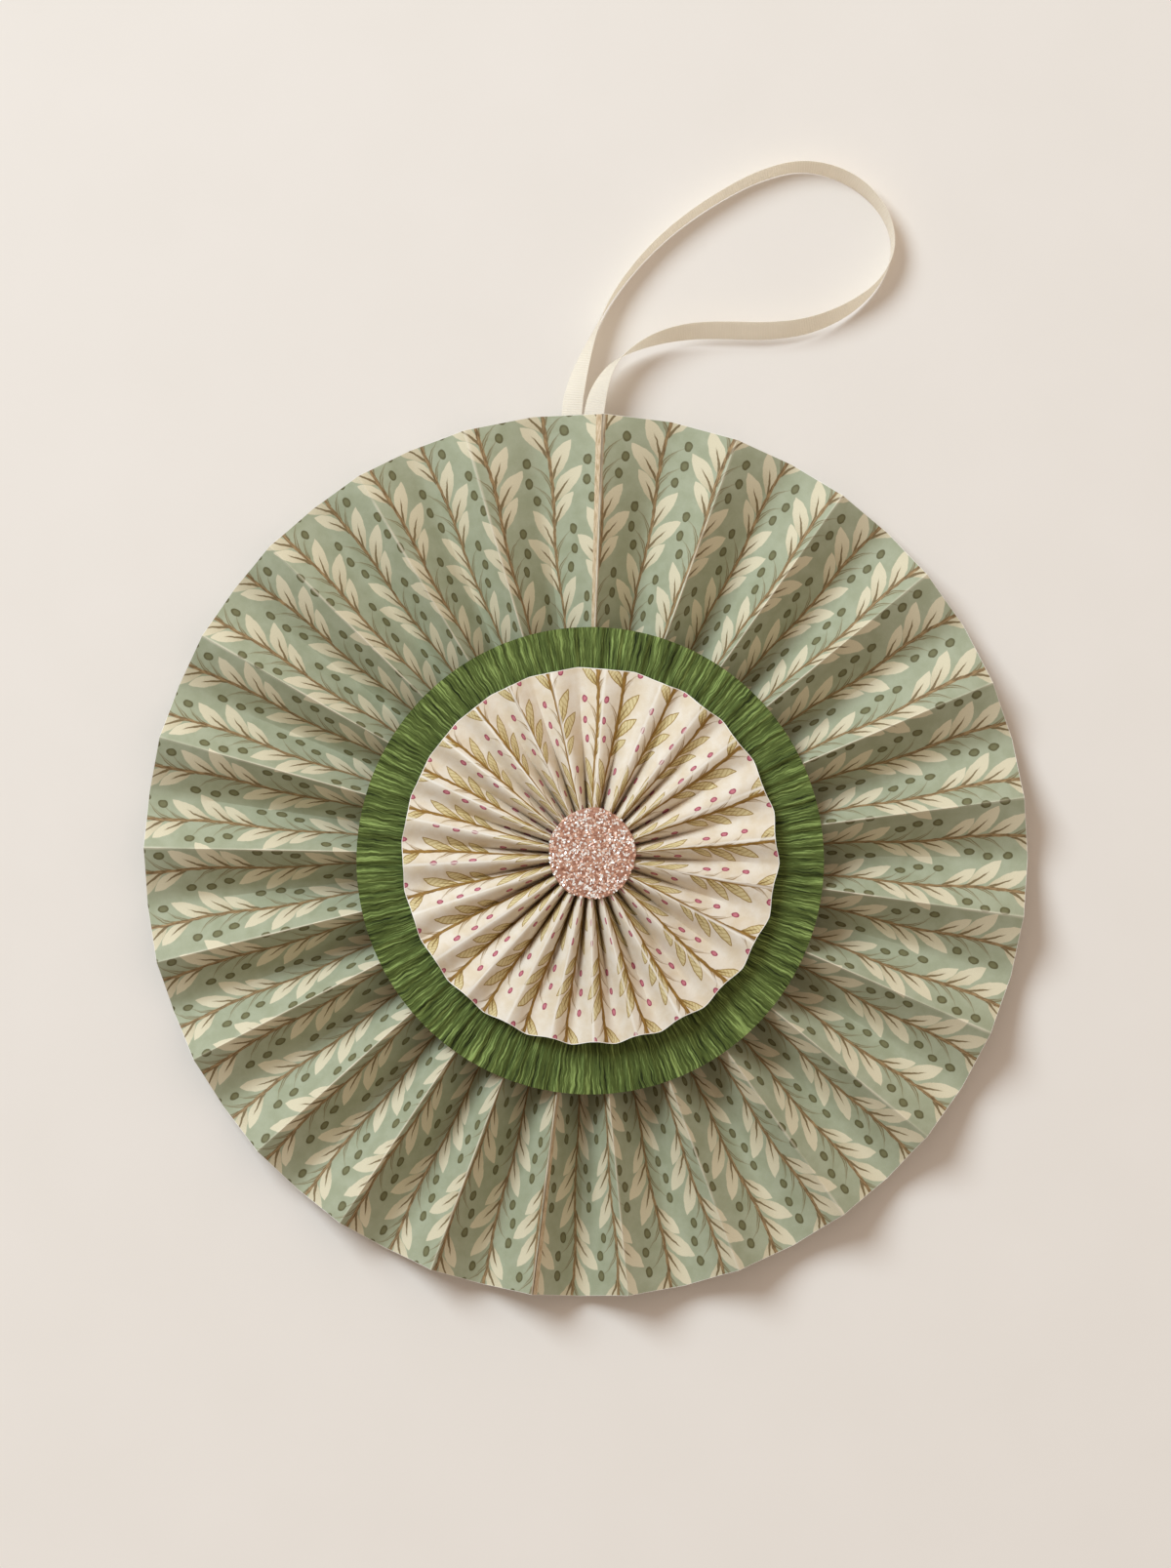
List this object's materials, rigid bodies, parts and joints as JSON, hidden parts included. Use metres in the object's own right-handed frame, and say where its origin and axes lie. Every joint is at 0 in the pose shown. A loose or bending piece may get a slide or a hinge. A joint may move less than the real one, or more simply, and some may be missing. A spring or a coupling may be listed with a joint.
{
  "type": "paper fan medallion",
  "caption": "Hanging paper decoration: a large pleated rosette with a crepe ring, a smaller pleated rosette and a glitter disc on its front, and a ribbon loop at its top.",
  "frame": {"origin": "centre of the backing disc's back face, which is also the centre of the outer fan", "axes": "+Z out of the front of the medallion, +Y towards the hanging loop, +X to the right seen from the front"},
  "size_m": [0.254, 0.3269, 0.0285],
  "materials": {
    "kraft_card": "matt card",
    "sage_printed_paper": "matt printed paper",
    "green_crepe": "matt crepe paper",
    "cream_printed_paper": "matt printed paper",
    "rose_gold_glitter": "glitter on card",
    "cream_ribbon": "ribbed ribbon"
  },
  "bodies": {
    "root": {"backing_disc": "kraft_card", "outer_fan": "sage_printed_paper", "crepe_ruffle": "green_crepe", "inner_fan": "cream_printed_paper", "glitter_disc": "rose_gold_glitter", "ribbon_loop": "cream_ribbon"}
  },
  "joints": []
}
